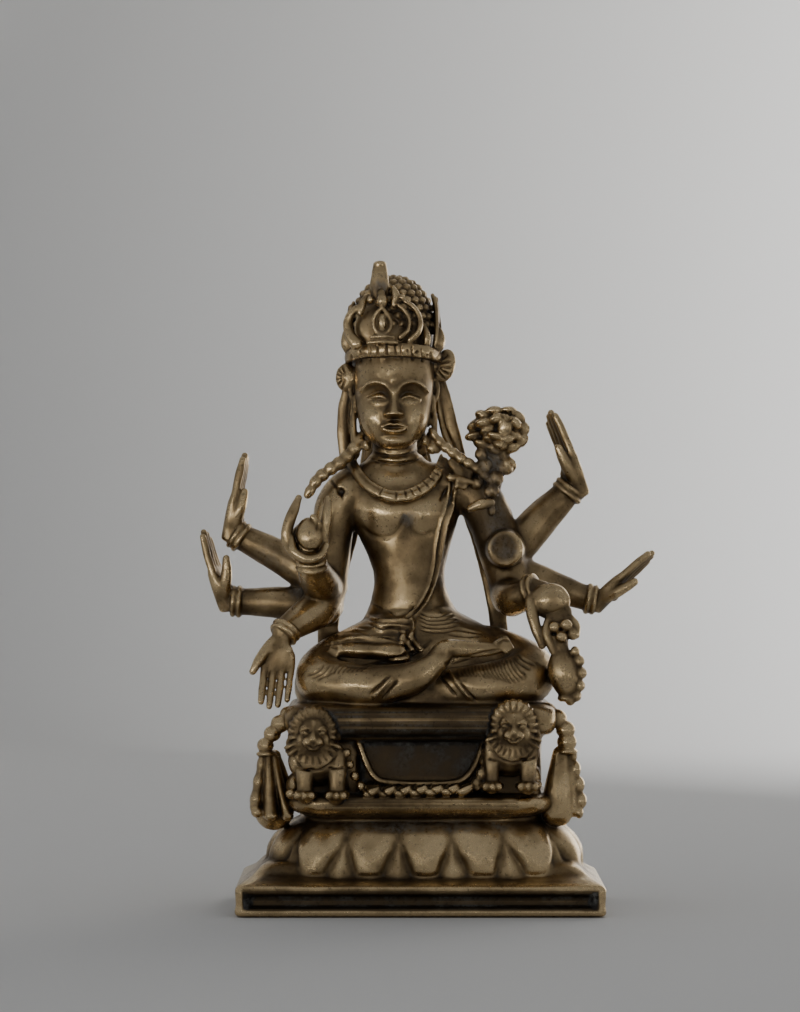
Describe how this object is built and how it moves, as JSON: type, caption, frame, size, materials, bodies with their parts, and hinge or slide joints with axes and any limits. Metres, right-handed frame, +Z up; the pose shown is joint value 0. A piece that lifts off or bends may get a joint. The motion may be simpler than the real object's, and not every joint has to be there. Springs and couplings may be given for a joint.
{
  "type": "cast brass avalokiteshvara figure",
  "caption": "Crowned many-armed bodhisattva in cast brass, seated cross-legged on a lion throne above a lotus base and a stepped plinth; a statuette to stand on a shelf.",
  "frame": {"origin": "middle of the plinth's flat underside", "axes": "+Z up, the figure faces -Y, +X is the figure's own left"},
  "size_m": [0.1348, 0.0767, 0.194],
  "materials": {
    "brass": "old cast brass, dark brown patina in the hollows, rubbed golden on the high places"
  },
  "bodies": {
    "root": {"avalokiteshvara_figure": "brass"}
  },
  "joints": []
}
